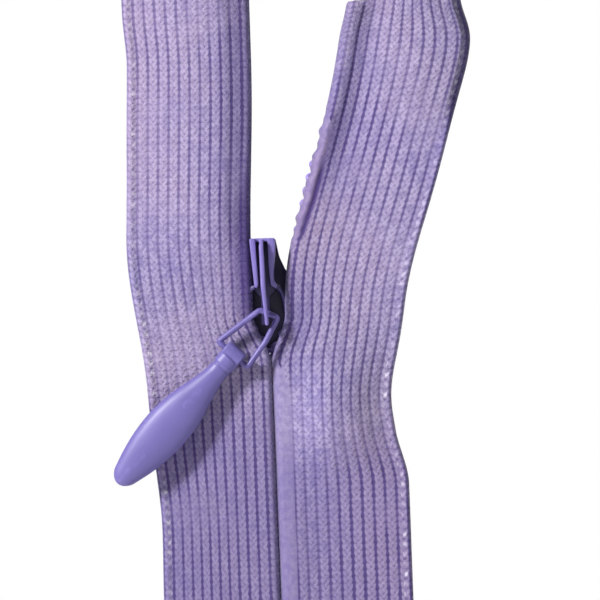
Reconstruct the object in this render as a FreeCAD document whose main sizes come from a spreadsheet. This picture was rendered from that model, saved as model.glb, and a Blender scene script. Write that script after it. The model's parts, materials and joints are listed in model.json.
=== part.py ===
import FreeCAD, Part
import math
import os
import Sketcher
from FreeCAD import Placement, Rotation, Vector

# A concealed (invisible) zipper, in millimetres. X runs across the zipper, +Z up the chain
# towards its top end, and -Y is the face that shows once it is sewn in. The origin is the
# middle of the seam, on the front of the tapes, level with the top of the bottom stop.

SIZES = {
    # tapes, measured from the seam
    "tape_reach": 12.0,
    "tape_back": 0.45,
    "tape_below": 15.0,
    "tape_above": 14.8,
    "band_start": 6.0,
    "band_back": 0.5,
    "fold_reach": 0.15,
    "fold_back": 1.65,
    "wall_reach": 0.65,
    "margin_front": 1.2,
    "margin_reach": 2.15,
    # how far each side of the chain stands open, against the height above the slider's top
    "merge_height": -12.2,
    "merge_rise": 5.0,
    "right_gape": 1.45,
    "left_gape": 1.6,
    "right_lean": 0.31,
    "left_lean": 0.055,
    "right_lean_from": -3.0,
    "left_lean_from": 1.0,
    "right_ease": 0.12,
    "left_ease": 0.05,
    "ease_from": 14.0,
    "lean_blend": 4.0,
    "curve_spacing": 2.5,
    # how much further out the coils sit once they have left the slider, tucked under the folds
    "tuck": 0.5,
    "tuck_height": -3.0,
    "tuck_rise": 5.0,
    # coils
    "chain_top": 100.0,
    "pitch": 1.25,
    "wire": 0.45,
    "leg_spacing": 0.8,
    "coil_front": 1.68,
    "head_reach": 0.5,
    "heel_reach": 1.95,
    "first_turn": 0.35,
    "turns": 79,
    # filler cords inside the coils, and the sewing thread over them
    "cord_near": 0.72,
    "cord_far": 1.02,
    "cord_front": 2.155,
    "cord_back": 2.455,
    "inner_row": 0.45,
    "outer_row": 1.15,
    "row_width": 0.22,
    "row_front": 2.96,
    "row_back": 3.1,
    # stops
    "stop_front": 1.65,
    "stop_back": 3.35,
    "bottom_stop_half": 2.1,
    "bottom_stop_height": 2.3,
    "top_stop_height": 1.8,
    "top_stop_near": -0.45,
    "top_stop_far": 2.1,
    "top_stop_back": 3.1,
    "stop_round": 0.35,
    # slider, measured down from its top and out from its own middle
    "slider_top": 91.2,
    "slider_middle": -0.4,
    "slider_length": 10.7,
    "plate_front": 3.25,
    "plate_back": 3.95,
    "tongue_half": 1.17,
    "tongue_bend_half": 1.5,
    "tongue_bend_drop": 1.8,
    "tongue_flare": 2.1,
    "shoulder_drop": 3.2,
    "shoulder_half": 4.85,
    "foot_half": 4.3,
    "wall": 0.45,
    "lip_front": 0.56,
    "lip_back": 1.06,
    "lip_half": 2.9,
    "post_half": 0.45,
    "post_drop": 4.5,
    "post_tip": 5.6,
    "post_tip_half": 0.12,
    "neck_front": 0.6,
    "neck_back": 1.1,
    "neck_half": 1.2,
    "neck_drop": 5.1,
    "neck_taper": 0.5,
    "tongue_rail_half": 0.42,
    "prong_front": -1.25,
    "prong_outer_top": 1.25,
    "prong_outer_low": 1.0,
    "prong_inner_top": 0.58,
    "prong_inner_low": 0.55,
    "prong_front_top": -0.95,
    "crown_half": 1.15,
    "crown_height": 0.4,
    "rail_half": 0.26,
    "rail_front": -2.3,
    "rail_back": -1.7,
    "rail_top": 0.7,
    "rail_low": 8.35,
    "rail_leg": 0.65,
    "rail_foot": 0.5,
    "rail_cap": 0.2,
    "rail_inset": 0.05,
    "rail_round": 0.5,
    "plate_round": 0.28,
    "prong_round": 0.16,
    # ring, flat on the front; its narrow bar goes through the slider's bridge
    "pull_angle": 44.0,
    "ring_drop": 7.38,
    "ring_shift": 0.25,
    "ring_level": -1.15,
    "ring_wire": 0.56,
    "ring_narrow_half": 1.08,
    "ring_wide_half": 1.86,
    "ring_length": 5.09,
    "ring_corner": 0.45,
    # pull tab, measured along itself from the ring's wide bar
    "head_outer": 1.7,
    "head_half": 1.05,
    "head_bore": 0.72,
    "tab_level": -0.12,
    "tip_at": 16.6,
}

# the pull tab's stations: distance from the ring's wide bar, half width, half thickness
TAB_STATIONS = {
    "tab_root": (0.45, 0.98, 0.78),
    "tab_neck": (2.3, 1.0, 0.8),
    "tab_waist": (4.6, 1.25, 0.88),
    "tab_shoulder": (7.4, 1.8, 1.0),
    "tab_belly": (10.4, 2.2, 1.06),
    "tab_hip": (13.2, 1.92, 0.98),
    "tab_nose": (15.6, 1.22, 0.78),
}

for station, (reach, half_width, half_depth) in TAB_STATIONS.items():
    SIZES[station + "_at"] = reach
    SIZES[station + "_width"] = half_width
    SIZES[station + "_depth"] = half_depth

doc = FreeCAD.newDocument("ConcealedZipper")
sheet = doc.addObject("Spreadsheet::Sheet", "Sizes")
for row, (alias, value) in enumerate(SIZES.items(), start=1):
    sheet.set(f"A{row}", alias.replace("_", " "))
    sheet.set(f"B{row}", str(value))
    sheet.setAlias(f"B{row}", alias)
doc.recompute()


def size(alias):
    """One driving dimension, read back from the sheet."""
    return float(sheet.get(alias))


def bind(item, **expressions):
    """Binds the item's sizes to cells of the sheet."""
    for name, expression in expressions.items():
        item.setExpression(name, expression)


def cell(text):
    """An expression written with bare aliases, with the sheet's name put before each one."""
    words = text.replace("(", " ( ").replace(")", " ) ").split()
    return " ".join("Sizes." + word if word in SIZES else word for word in words)


# ---- cloth, coils and thread: Part.Feature shapes that follow the opening of the chain ----


def ramp(distance):
    """Nothing before zero, the distance after it, and an even curve between."""
    blend = size("lean_blend")
    if distance <= -blend:
        return 0.0
    if distance >= blend:
        return distance
    return (distance + blend) ** 2 / (4 * blend)


def step(distance, rise):
    """From 0 to 1 over a rise, level at both ends."""
    share = min(max(distance / rise, 0.0), 1.0)
    return share * share * (3 - 2 * share)


def opening(side, height):
    """How far a side (-1 left, +1 right) stands from its closed place at a height."""
    name = "left" if side < 0 else "right"
    above = height - size("slider_top")
    gape = size(name + "_gape") * step(above - size("merge_height"), size("merge_rise"))
    lean = size(name + "_lean") * ramp(above - size(name + "_lean_from"))
    ease = size(name + "_ease") * ramp(above - size("ease_from"))
    return side * gape + (lean - ease)


def coil_opening(side, height):
    """The same for a coil, which also tucks under its fold above the slider."""
    above = height - size("slider_top")
    tuck = size("tuck") * step(above - size("tuck_height"), size("tuck_rise"))
    return opening(side, height) + side * tuck


def side_line(side, reach, low, high, path):
    """The line that a reach from the seam draws on one side, from low to high, along a path."""
    merge = size("slider_top") + size("merge_height")
    edges = []
    start = low
    if low < merge:
        top = min(merge, high)
        edges.append(Part.LineSegment(Vector(side * reach, 0, low), Vector(side * reach, 0, top)).toShape())
        start = merge
    if high > merge:
        count = max(2, math.ceil((high - start) / size("curve_spacing")))
        heights = [start + (high - start) * step / count for step in range(count + 1)]
        points = [Vector(side * reach + path(side, z), 0, z) for z in heights]
        curve = Part.BSplineCurve()
        curve.interpolate(points)
        edges.append(curve.toShape())
    return edges


def ribbon(side, near, far, front, back, low, high, path=opening):
    """A strip of even width that follows one side of the chain."""
    inner = side_line(side, near, low, high, path)
    outer = side_line(side, far, low, high, path)
    inner_low, inner_high = inner[0].Vertexes[0].Point, inner[-1].Vertexes[-1].Point
    outer_low, outer_high = outer[0].Vertexes[0].Point, outer[-1].Vertexes[-1].Point
    foot = Part.LineSegment(inner_low, outer_low).toShape()
    head = Part.LineSegment(inner_high, outer_high).toShape()
    outline = Part.Wire(Part.__sortEdges__(inner + outer + [foot, head]))
    face = Part.Face(outline)
    face.translate(Vector(0, front, 0))
    return face.extrude(Vector(0, back - front, 0))


def tape_shape(side):
    """Front layer, thicker sewing band, fold and turned-under margin, as one cloth."""
    low, high = -size("tape_below"), size("chain_top") + size("tape_above")
    fold = ribbon(side, size("fold_reach"), size("wall_reach"), 0, size("fold_back"), low, high)
    front = ribbon(side, size("wall_reach"), size("band_start"), 0, size("tape_back"), low, high)
    band = ribbon(side, size("band_start"), size("tape_reach"), 0, size("band_back"), low, high)
    margin = ribbon(
        side, size("wall_reach"), size("margin_reach"), size("margin_front"), size("fold_back"), low, high
    )
    return fold.fuse([front, band, margin])


def coil_shape(side):
    """One coil: straight legs across, joined by half rings at the heads and the heels."""
    pitch, wire, spacing = size("pitch"), size("wire"), size("leg_spacing")
    turns = int(size("turns"))
    half_ring = math.hypot(pitch / 2, spacing) / 2
    head = -size("head_reach") + wire / 2 + half_ring
    heel = size("heel_reach") - wire / 2 - half_ring
    front = size("coil_front") + wire / 2
    first = size("first_turn") + (0 if side > 0 else pitch / 2)

    def bend(reach, bulge, leg):
        """The half ring from leg number `leg` to the next one."""
        start, end = first + leg * pitch / 2, first + (leg + 1) * pitch / 2
        level = front if leg % 2 == 0 else front + spacing
        next_level = front + spacing if leg % 2 == 0 else front
        middle = (start + end) / 2
        x = side * reach + coil_opening(side, middle)
        crown = Vector(x + side * bulge, (level + next_level) / 2, middle)
        return Part.Arc(Vector(x, level, start), crown, Vector(x, next_level, end)).toShape()

    bends = []
    for leg in range(2 * turns - 1):
        at_head = leg % 2 == 0
        bends.append(bend(head, -half_ring, leg) if at_head else bend(heel, half_ring, leg))
    start = bends[0].Vertexes[0].Point
    tail = Vector(side * heel + coil_opening(side, first), front, first)
    edges = [Part.LineSegment(tail, start).toShape(), bends[0]]
    for before, after in zip(bends, bends[1:]):
        edges.append(Part.LineSegment(before.Vertexes[-1].Point, after.Vertexes[0].Point).toShape())
        edges.append(after)
    route = Part.Wire(edges)
    section = Part.Wire([Part.Circle(tail, Vector(1, 0, 0), wire / 2).toShape()])
    pipe = Part.BRepOffsetAPI.MakePipeShell(route)
    pipe.add(section, False, False)
    pipe.build()
    pipe.makeSolid()
    shape = pipe.shape()
    expected = route.Length * math.pi * wire * wire / 4
    print(f"coil side {side}: volume {shape.Volume:.3f}, section times length {expected:.3f}")
    return shape


def cord_shape(side):
    """The filler cord that runs inside a coil."""
    low, high = size("first_turn") - size("wire"), size("chain_top") - size("wire")
    front, back = size("cord_front"), size("cord_back")
    return ribbon(side, size("cord_near"), size("cord_far"), front, back, low, high, coil_opening)


def stitching_shape(side):
    """Two rows of thread that sew a coil to its margin."""
    low, high = size("first_turn") - size("wire") / 2, size("chain_top") - size("wire")
    front, back, width = size("row_front"), size("row_back"), size("row_width")
    rows = []
    for near in (size("inner_row"), size("outer_row")):
        rows.append(ribbon(side, near, near + width, front, back, low, high, coil_opening))
    return Part.Compound(rows)


def top_stop_shape(side):
    """A moulded stop over the last turns of one coil."""
    low = size("chain_top")
    centre = coil_opening(side, low + size("top_stop_height") / 2)
    near, far = size("top_stop_near"), size("top_stop_far")
    block = Part.makeBox(
        far - near,
        size("top_stop_back") - size("stop_front"),
        size("top_stop_height"),
        Vector(centre + (near if side > 0 else -far), size("stop_front"), low),
    )
    behind = [edge for edge in block.Edges if edge.BoundBox.YMin > size("stop_front") + 0.1]
    return block.makeFillet(size("stop_round"), behind)


def feature(label, shape):
    """A document object that holds a shape, labelled as the piece."""
    item = doc.addObject("Part::Feature", label)
    item.Shape = shape
    item.Label = label
    item.Placement = Placement(Vector(0, 0, 0), Rotation())
    return item


# ---- cast and moulded pieces: sketches, pads and booleans bound to the sheet ----


def slab(body, name, corners, front, back):
    """A pad in a body: an outline in XZ given by expressions, from y = front to y = back."""
    sketch = body.newObject("Sketcher::SketchObject", name + "_outline")
    plane = [item for item in body.Origin.OriginFeatures if item.Role == "XZ_Plane"][0]
    sketch.AttachmentSupport = [(plane, "")]
    sketch.MapMode = "FlatFace"
    count = len(corners)
    for corner in range(count):
        turn, after = 2 * math.pi * corner / count, 2 * math.pi * (corner + 1) / count
        start = Vector(math.cos(turn), math.sin(turn), 0)
        end = Vector(math.cos(after), math.sin(after), 0)
        sketch.addGeometry(Part.LineSegment(start, end))
    for corner in range(count):
        sketch.addConstraint(Sketcher.Constraint("Coincident", corner, 2, (corner + 1) % count, 1))
    for corner, (across, up) in enumerate(corners):
        for kind, value in (("DistanceX", across), ("DistanceY", up)):
            number = sketch.addConstraint(Sketcher.Constraint(kind, -1, 1, corner, 1, 1.0))
            sketch.setExpression(f"Constraints[{number}]", cell(value))
    sketch.setExpression("AttachmentOffset.Base.z", cell(f"- ( {back} )"))
    pad = body.newObject("PartDesign::Pad", name)
    pad.Profile = sketch
    pad.setExpression("Length", cell(f"( {back} ) - ( {front} )"))
    sketch.Visibility = False
    return pad


def mirrored(corners):
    """Corners given for the right half, top to bottom, completed with the left half."""
    other = [("- ( " + across + " )", up) for across, up in reversed(corners)]
    return corners + other


def make_slider():
    """The die-cast slider: back plate, side walls with lips, post, neck, prongs and bridge.

    It is drawn with its top at the body's origin and set in place at the end.
    """
    body = doc.addObject("PartDesign::Body", "slider_body")
    shoulder, foot = "- shoulder_drop", "- slider_length"
    slab(
        body,
        "back_plate",
        mirrored(
            [
                ("tongue_half", "0"),
                ("tongue_bend_half", "- tongue_bend_drop"),
                ("tongue_flare", shoulder),
                ("shoulder_half", shoulder),
                ("foot_half", foot),
            ]
        ),
        "plate_front",
        "plate_back",
    )
    for hand, name in (("", "right"), ("- ", "left")):
        outer_top, outer_low = f"{hand} ( shoulder_half )", f"{hand} ( foot_half )"
        inner_top, inner_low = f"{hand} ( shoulder_half - wall )", f"{hand} ( foot_half - wall )"
        wall = [(inner_top, shoulder), (outer_top, shoulder), (outer_low, foot), (inner_low, foot)]
        lip = [
            (f"{hand} ( lip_half )", shoulder),
            (outer_top, shoulder),
            (outer_low, foot),
            (f"{hand} ( lip_half )", foot),
        ]
        slab(body, name + "_wall", wall, "lip_front", "plate_front")
        slab(body, name + "_lip", lip, "lip_front", "lip_back")
    post = mirrored([("post_half", "0"), ("post_half", "- post_drop"), ("post_tip_half", "- post_tip")])
    slab(body, "post", post, "neck_front", "plate_front")
    neck = mirrored(
        [
            ("neck_half", "0"),
            ("prong_outer_low", "- neck_drop"),
            ("tongue_rail_half", "- neck_drop - neck_taper"),
            ("tongue_rail_half", "- rail_low"),
        ]
    )
    slab(body, "neck", neck, "neck_front", "neck_back")
    for hand, name in (("", "right"), ("- ", "left")):
        prong = [
            (f"{hand} ( prong_inner_top )", "0"),
            (f"{hand} ( prong_outer_top )", "0"),
            (f"{hand} ( prong_outer_low )", "- neck_drop"),
            (f"{hand} ( prong_inner_low )", "- neck_drop"),
        ]
        slab(body, name + "_prong", prong, "prong_front", "neck_front")
    crown = mirrored([("crown_half", "0"), ("crown_half", "- crown_height")])
    slab(body, "crown", crown, "prong_front_top", "neck_front")
    rail = mirrored([("rail_half", "- rail_top"), ("rail_half", "- rail_low")])
    slab(body, "bridge_rail", rail, "rail_front", "rail_back")
    upper = mirrored([("rail_half", "- rail_inset"), ("rail_half", "- rail_top - rail_leg")])
    slab(body, "bridge_upper_leg", upper, "rail_back + rail_cap", "neck_front")
    upper_cap = mirrored([("rail_half", "- rail_top"), ("rail_half", "- rail_top - rail_leg")])
    slab(body, "bridge_upper_cap", upper_cap, "rail_back", "rail_back + rail_cap")
    lower = mirrored([("rail_half", "- rail_low + rail_foot"), ("rail_half", "- rail_low")])
    slab(body, "bridge_lower_leg", lower, "rail_back", "neck_front")
    doc.recompute()
    round_edges(body)
    body.Placement = Placement(Vector(0, 0, 0), Rotation())
    bind(body, **{"Placement.Base.x": cell("slider_middle"), "Placement.Base.z": cell("slider_top")})
    return body


def fillet(body, name, chosen, radius):
    """Rounds the chosen edges of the body's present shape."""
    base = body.Tip
    names = [f"Edge{number}" for number, edge in enumerate(base.Shape.Edges, start=1) if chosen(edge)]
    rounded = body.newObject("PartDesign::Fillet", name)
    rounded.Base = (base, names)
    rounded.setExpression("Radius", cell(radius))
    doc.recompute()


def round_edges(body):
    """Softens the casting where it shows: the plate's rim, the bridge and the prongs."""
    near = 1e-4
    plate_back, rail_front = size("plate_back"), size("rail_front")
    prong_front = size("prong_front")

    def at_level(edge, level):
        return abs(edge.BoundBox.YMin - level) < near and abs(edge.BoundBox.YMax - level) < near

    fillet(body, "plate_rim", lambda edge: at_level(edge, plate_back), "plate_round")
    fillet(
        body,
        "bridge_ends",
        lambda edge: at_level(edge, rail_front)
        and edge.BoundBox.ZLength < near
        and edge.BoundBox.XLength > size("rail_half"),
        "rail_round",
    )
    fillet(body, "prong_rounding", lambda edge: at_level(edge, prong_front), "prong_round")


def make_bottom_stop():
    """The moulded stop across the foot of the chain."""
    body = doc.addObject("PartDesign::Body", "bottom_stop")
    outline = mirrored([("bottom_stop_half", "0"), ("bottom_stop_half", "- bottom_stop_height")])
    slab(body, "block", outline, "stop_front", "stop_back")
    doc.recompute()
    back = size("stop_back")
    fillet(body, "rounding", lambda edge: edge.BoundBox.YMax > back - 1e-4, "stop_round")
    return body


def in_pull_frame(reach):
    """Placement of the pull's own frame, a reach down the pull from the ring's narrow bar.

    Its X runs along the bars, its Z away from the slider and its Y towards the tape.
    """
    angle = math.radians(size("pull_angle"))
    along = Vector(-math.sin(angle), 0, -math.cos(angle))
    start = Vector(
        size("slider_middle") + size("ring_shift"),
        size("ring_level"),
        size("slider_top") - size("ring_drop"),
    )
    turn = Rotation(Vector(0, 1, 0), 180 + size("pull_angle"))
    return Placement(start + along * reach, turn)


def make_ring():
    """The wire link: a flat trapezoid with rounded corners, swept with a round section."""
    narrow, wide, length = size("ring_narrow_half"), size("ring_wide_half"), size("ring_length")
    corner = size("ring_corner")
    corners = [Vector(-narrow, 0, 0), Vector(narrow, 0, 0), Vector(wide, 0, length), Vector(-wide, 0, length)]
    edges = []
    bends = []
    for number in range(4):
        before, here, after = corners[number - 1], corners[number], corners[(number + 1) % 4]
        into, out = (here - before).normalize(), (after - here).normalize()
        half_turn = into.getAngle(out) / 2
        cut = corner * math.tan(half_turn)
        toward = (out - into).normalize()
        start, end = here - into * cut, here + out * cut
        crown = here + toward * (corner / math.cos(half_turn) - corner)
        bends.append((start, crown, end))
    for number in range(4):
        start, crown, end = bends[number]
        edges.append(Part.Arc(start, crown, end).toShape())
        edges.append(Part.LineSegment(end, bends[(number + 1) % 4][0]).toShape())
    route = Part.Wire(edges)
    start = bends[0][0]
    heading = (start - bends[3][2]).normalize()
    section = Part.Wire([Part.Circle(start, heading, size("ring_wire") / 2).toShape()])
    pipe = Part.BRepOffsetAPI.MakePipeShell(route)
    pipe.add(section, False, False)
    pipe.build()
    pipe.makeSolid()
    ring = feature("pull_ring", pipe.shape())
    ring.Placement = in_pull_frame(0)
    return ring


def make_pull():
    """The moulded pull: a teardrop lofted through ellipses, with a bored barrel for its head."""
    sections = []
    for station in TAB_STATIONS:
        ellipse = doc.addObject("Part::Ellipse", station)
        bind(
            ellipse,
            MajorRadius=cell(station + "_width"),
            MinorRadius=cell(station + "_depth"),
        )
        bind(ellipse, **{"Placement.Base.y": cell("tab_level"), "Placement.Base.z": cell(station + "_at")})
        sections.append(ellipse)
    doc.recompute()
    blade = doc.addObject("Part::Loft", "blade")
    blade.Sections = sections
    blade.Solid = True
    tip = doc.addObject("Part::Ellipsoid", "tip")
    bind(
        tip,
        Radius1=cell("tip_at - tab_nose_at"),
        Radius2=cell("tab_nose_width"),
        Radius3=cell("tab_nose_depth"),
    )
    bind(tip, **{"Placement.Base.y": cell("tab_level"), "Placement.Base.z": cell("tab_nose_at")})
    barrel = doc.addObject("Part::Cylinder", "barrel")
    bind(barrel, Radius=cell("head_outer / 2"), Height=cell("2 * head_half"))
    barrel.Placement = Placement(Vector(0, 0, 0), Rotation(Vector(0, 1, 0), 90))
    bind(barrel, **{"Placement.Base.x": cell("- head_half")})
    solid = doc.addObject("Part::MultiFuse", "solid_pull")
    solid.Shapes = [blade, tip, barrel]
    bore = doc.addObject("Part::Cylinder", "bore")
    bind(bore, Radius=cell("head_bore / 2"), Height=cell("4 * head_half"))
    bore.Placement = Placement(Vector(0, 0, 0), Rotation(Vector(0, 1, 0), 90))
    bind(bore, **{"Placement.Base.x": cell("- 2 * head_half")})
    pull = doc.addObject("Part::Cut", "pull_tab")
    pull.Base = solid
    pull.Tool = bore
    pull.Placement = in_pull_frame(size("ring_length"))
    return pull


pieces = [make_slider(), make_ring(), make_pull(), make_bottom_stop()]
for hand, name in ((-1, "left"), (1, "right")):
    pieces.append(feature(name + "_tape", tape_shape(hand)))
    pieces.append(feature(name + "_coil", coil_shape(hand)))
    pieces.append(feature(name + "_filler_cord", cord_shape(hand)))
    pieces.append(feature(name + "_stitching", stitching_shape(hand)))
    pieces.append(feature(name + "_top_stop", top_stop_shape(hand)))

doc.recompute()
for item in doc.Objects:
    if "Invalid" in item.State or "Error" in item.State:
        raise SystemExit(f"{item.Label} failed: {item.State}")

os.makedirs("parts", exist_ok=True)
for piece in pieces:
    shape = piece.Shape
    if shape.isNull() or not shape.isValid():
        raise SystemExit(f"{piece.Label} has no valid shape")
    box = shape.BoundBox
    print(
        f"{piece.Label}: {len(shape.Solids)} solid(s), {shape.Volume:.2f} mm3,"
        f" x {box.XMin:.2f}..{box.XMax:.2f} y {box.YMin:.2f}..{box.YMax:.2f} z {box.ZMin:.2f}..{box.ZMax:.2f}"
    )
    shape.exportStep(f"parts/{piece.Label}.step")
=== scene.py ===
import json
import math

import bmesh
import bpy
import numpy as np
from mathutils import Matrix, Vector

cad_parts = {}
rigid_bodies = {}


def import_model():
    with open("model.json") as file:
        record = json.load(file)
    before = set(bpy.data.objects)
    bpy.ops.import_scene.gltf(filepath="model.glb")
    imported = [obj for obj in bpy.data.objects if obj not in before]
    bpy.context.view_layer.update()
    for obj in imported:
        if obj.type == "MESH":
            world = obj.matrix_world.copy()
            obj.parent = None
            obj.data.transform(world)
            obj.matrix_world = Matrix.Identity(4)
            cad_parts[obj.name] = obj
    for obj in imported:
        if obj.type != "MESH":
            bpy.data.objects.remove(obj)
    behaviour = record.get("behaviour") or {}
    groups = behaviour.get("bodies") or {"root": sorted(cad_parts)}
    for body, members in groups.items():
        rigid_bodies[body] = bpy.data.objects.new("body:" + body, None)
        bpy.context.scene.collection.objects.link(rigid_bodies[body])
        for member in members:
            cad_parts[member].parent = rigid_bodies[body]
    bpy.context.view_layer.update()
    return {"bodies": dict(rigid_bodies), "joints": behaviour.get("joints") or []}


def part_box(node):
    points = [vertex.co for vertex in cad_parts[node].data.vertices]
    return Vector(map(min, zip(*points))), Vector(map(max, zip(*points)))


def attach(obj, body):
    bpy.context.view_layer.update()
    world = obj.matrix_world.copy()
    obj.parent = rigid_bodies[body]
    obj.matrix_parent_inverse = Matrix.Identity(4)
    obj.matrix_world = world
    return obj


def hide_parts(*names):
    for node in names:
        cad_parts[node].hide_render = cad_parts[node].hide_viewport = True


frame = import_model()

# A concealed zipper. Shapes are worked out in millimetres and turned into metres as they
# become meshes. X runs across, +Z up the chain, -Y is the face that shows.

MM = 0.001

# ---- sizes, the same as the frame's ----

SLIDER_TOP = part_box("slider_body")[1][2] / MM
TAPE_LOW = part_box("left_tape")[0][2] / MM
TAPE_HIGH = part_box("left_tape")[1][2] / MM
CHAIN_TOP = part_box("left_top_stop")[0][2] / MM

TAPE_REACH = 12.0          # seam to a tape's outer edge
CLOTH = 0.45               # cloth thickness
FOLD_REACH = 0.004         # seam to the fold
FOLD_RADIUS = 0.6          # of the cloth's middle surface round the fold
MARGIN_REACH = 2.15        # seam to the turned-under edge

# How the sides part. Heights are above the slider's top, and side -1 is the left.
MERGE, MERGE_RISE = -12.2, 5.0    # where the folds start to part, and over what height
EDGE_MERGE, EDGE_RISE = -17.0, 18.0    # the same for the outer edges
GAPE = {-1: -1.6, 1: 1.45}    # how far a fold stands off in the slider
LEAN = {-1: 0.055, 1: 0.31}    # slope of a side above the slider
LEAN_FROM = {-1: 1.0, 1: -3.0}
EASE = {-1: 0.05, 1: 0.12}    # what the slope loses higher up
EASE_FROM = 14.0
BLEND = 4.0    # half the height over which a slope sets in
TUCK, TUCK_FROM, TUCK_RISE = 0.5, -11.0, 3.0    # how far the coils move out under the folds
HUMP_FROM = {-1: -7.0, 1: 0.0}    # where the cloth beside a fold starts to swell
HUMP_RISE = {-1: 12.0, 1: 10.0}

PITCH, WIRE, LEG_SPACING = 1.25, 0.45, 0.8
COIL_FRONT = 1.68
HEAD_REACH, HEEL_REACH = 0.5, 1.95
FIRST_TURN, TURNS = 0.35, 79

SIDES = {"left": -1, "right": 1}


# ---- how the two sides open, as numbers and as geometry nodes ----


def step(x, rise):
    """0 below 0 and 1 above rise, with a smooth rise between."""
    share = np.clip(np.asarray(x, float) / rise, 0, 1)
    return share * share * (3 - 2 * share)


def bump_up(x, centre, width):
    """A smooth hill of height 1."""
    return np.exp(-(((np.asarray(x, float) - centre) / width) ** 2))


def ramp(x):
    """0 well below 0 and x well above it, with a smooth bend between."""
    inside = np.clip(x, -BLEND, BLEND)
    return (inside + BLEND) ** 2 / (4 * BLEND) + np.maximum(np.asarray(x) - BLEND, 0)


def opening(side, above, spread=0.0, tucked=0.0):
    """How far a side stands from its closed place, a height above the slider's top.

    spread is 0 at the fold and 1 at the outer edge, where the cloth parts more gradually.
    """
    at_fold, at_edge = step(above - MERGE, MERGE_RISE), step(above - EDGE_MERGE, EDGE_RISE)
    gape = (1 - spread) * at_fold + spread * at_edge
    lean = LEAN[side] * ramp(above - LEAN_FROM[side]) - EASE[side] * ramp(above - EASE_FROM)
    return GAPE[side] * gape + lean + side * TUCK * tucked * step(above - TUCK_FROM, TUCK_RISE)


class Number:
    """A number in a tree of nodes. Arithmetic with it adds nodes to the tree."""

    def __init__(self, tree, socket):
        self.tree, self.socket = tree, socket

    def __add__(self, other):
        return self.tree.do("ADD", self, other)

    def __sub__(self, other):
        return self.tree.do("SUBTRACT", self, other)

    def __rsub__(self, other):
        return self.tree.do("SUBTRACT", other, self)

    def __mul__(self, other):
        return self.tree.do("MULTIPLY", self, other)

    def __truediv__(self, other):
        return self.tree.do("DIVIDE", self, other)


class Tree:
    """Writes nodes in a shader or geometry tree."""

    def __init__(self, nodes):
        self.nodes, self.links = nodes.nodes, nodes.links

    def node(self, kind, **settings):
        made = self.nodes.new(kind)
        for name, value in settings.items():
            setattr(made, name, value)
        return made

    def join(self, source, target):
        """Feeds a target socket from a number or a socket."""
        self.links.new(getattr(source, "socket", source), target)

    def do(self, operation, *inputs):
        made = self.node("ShaderNodeMath", operation=operation)
        for number, value in enumerate(inputs):
            if isinstance(value, (int, float)):
                made.inputs[number].default_value = value
            else:
                self.join(value, made.inputs[number])
        return Number(self, made.outputs[0])

    def parts(self, source):
        """The three numbers in a vector."""
        made = self.node("ShaderNodeSeparateXYZ")
        self.join(source, made.inputs[0])
        return [Number(self, output) for output in made.outputs]

    def vector(self, *numbers):
        made = self.node("ShaderNodeCombineXYZ")
        for number, value in enumerate(numbers):
            self.join(value, made.inputs[number])
        return made.outputs[0]

    def attribute(self, name):
        """A number kept with each vertex, for a shader."""
        return Number(self, self.node("ShaderNodeAttribute", attribute_name=name).outputs["Fac"])

    def named(self, name):
        """A number kept with each vertex, for geometry nodes."""
        made = self.node("GeometryNodeInputNamedAttribute", data_type="FLOAT")
        made.inputs["Name"].default_value = name
        return Number(self, made.outputs[0])

    def remap(self, value, low, high, to_low=0.0, to_high=1.0):
        """Takes low to to_low and high to to_high, smoothly, and holds those values outside."""
        made = self.node("ShaderNodeMapRange", interpolation_type="SMOOTHSTEP")
        self.join(value, made.inputs["Value"])
        ends = {"From Min": low, "From Max": high, "To Min": to_low, "To Max": to_high}
        for name, number in ends.items():
            made.inputs[name].default_value = number
        return Number(self, made.outputs[0])

    def ramp(self, value):
        """The nodes for ramp()."""
        inside = self.do("MAXIMUM", self.do("MINIMUM", value, BLEND), -BLEND)
        curve = self.do("POWER", inside + BLEND, 2.0) / (4 * BLEND)
        return curve + self.do("MAXIMUM", value - BLEND, 0.0)


def follow_tree(side):
    """Geometry nodes that open a side above the slider and close it below, wherever it stands.

    They move each vertex by the difference between opening() at the slider's present height
    and opening() at rest, which the mesh already has.
    """
    group = bpy.data.node_groups.new(f"follow_slider_{side}", "GeometryNodeTree")
    for direction in ("INPUT", "OUTPUT"):
        group.interface.new_socket("Geometry", in_out=direction, socket_type="NodeSocketGeometry")
    tree = Tree(group)
    entry, leave = tree.node("NodeGroupInput"), tree.node("NodeGroupOutput")
    place = tree.node("GeometryNodeSetPosition")
    slider = tree.node("GeometryNodeObjectInfo", transform_space="ORIGINAL")
    slider.inputs["Object"].default_value = frame["bodies"]["slider"]
    travel = tree.parts(slider.outputs["Location"])[2]
    height_here = tree.parts(tree.node("GeometryNodeInputPosition").outputs[0])[2]
    rest_above = height_here / MM - SLIDER_TOP
    above = rest_above - travel / MM
    spread, tucked, swell = tree.named("spread"), tree.named("tucked"), tree.named("hump")

    def shift(height):
        at_fold = tree.remap(height, MERGE, MERGE + MERGE_RISE)
        at_edge = tree.remap(height, EDGE_MERGE, EDGE_MERGE + EDGE_RISE)
        gape = (at_fold + spread * (at_edge - at_fold)) * GAPE[side]
        lean = tree.ramp(height - LEAN_FROM[side]) * LEAN[side]
        ease = tree.ramp(height - EASE_FROM) * EASE[side]
        tuck = tree.remap(height, TUCK_FROM, TUCK_FROM + TUCK_RISE, 0.0, side * TUCK) * tucked
        return gape + lean - ease + tuck

    def depth(height):
        return tree.remap(height, HUMP_FROM[side], HUMP_FROM[side] + HUMP_RISE[side]) * swell

    across = (shift(above) - shift(rest_above)) * MM
    back = (depth(above) - depth(rest_above)) * MM
    tree.join(entry.outputs[0], place.inputs["Geometry"])
    tree.join(tree.vector(across, back), place.inputs["Offset"])
    tree.join(place.outputs[0], leave.inputs[0])
    return group


FOLLOW = {side: follow_tree(side) for side in SIDES.values()}


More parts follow.
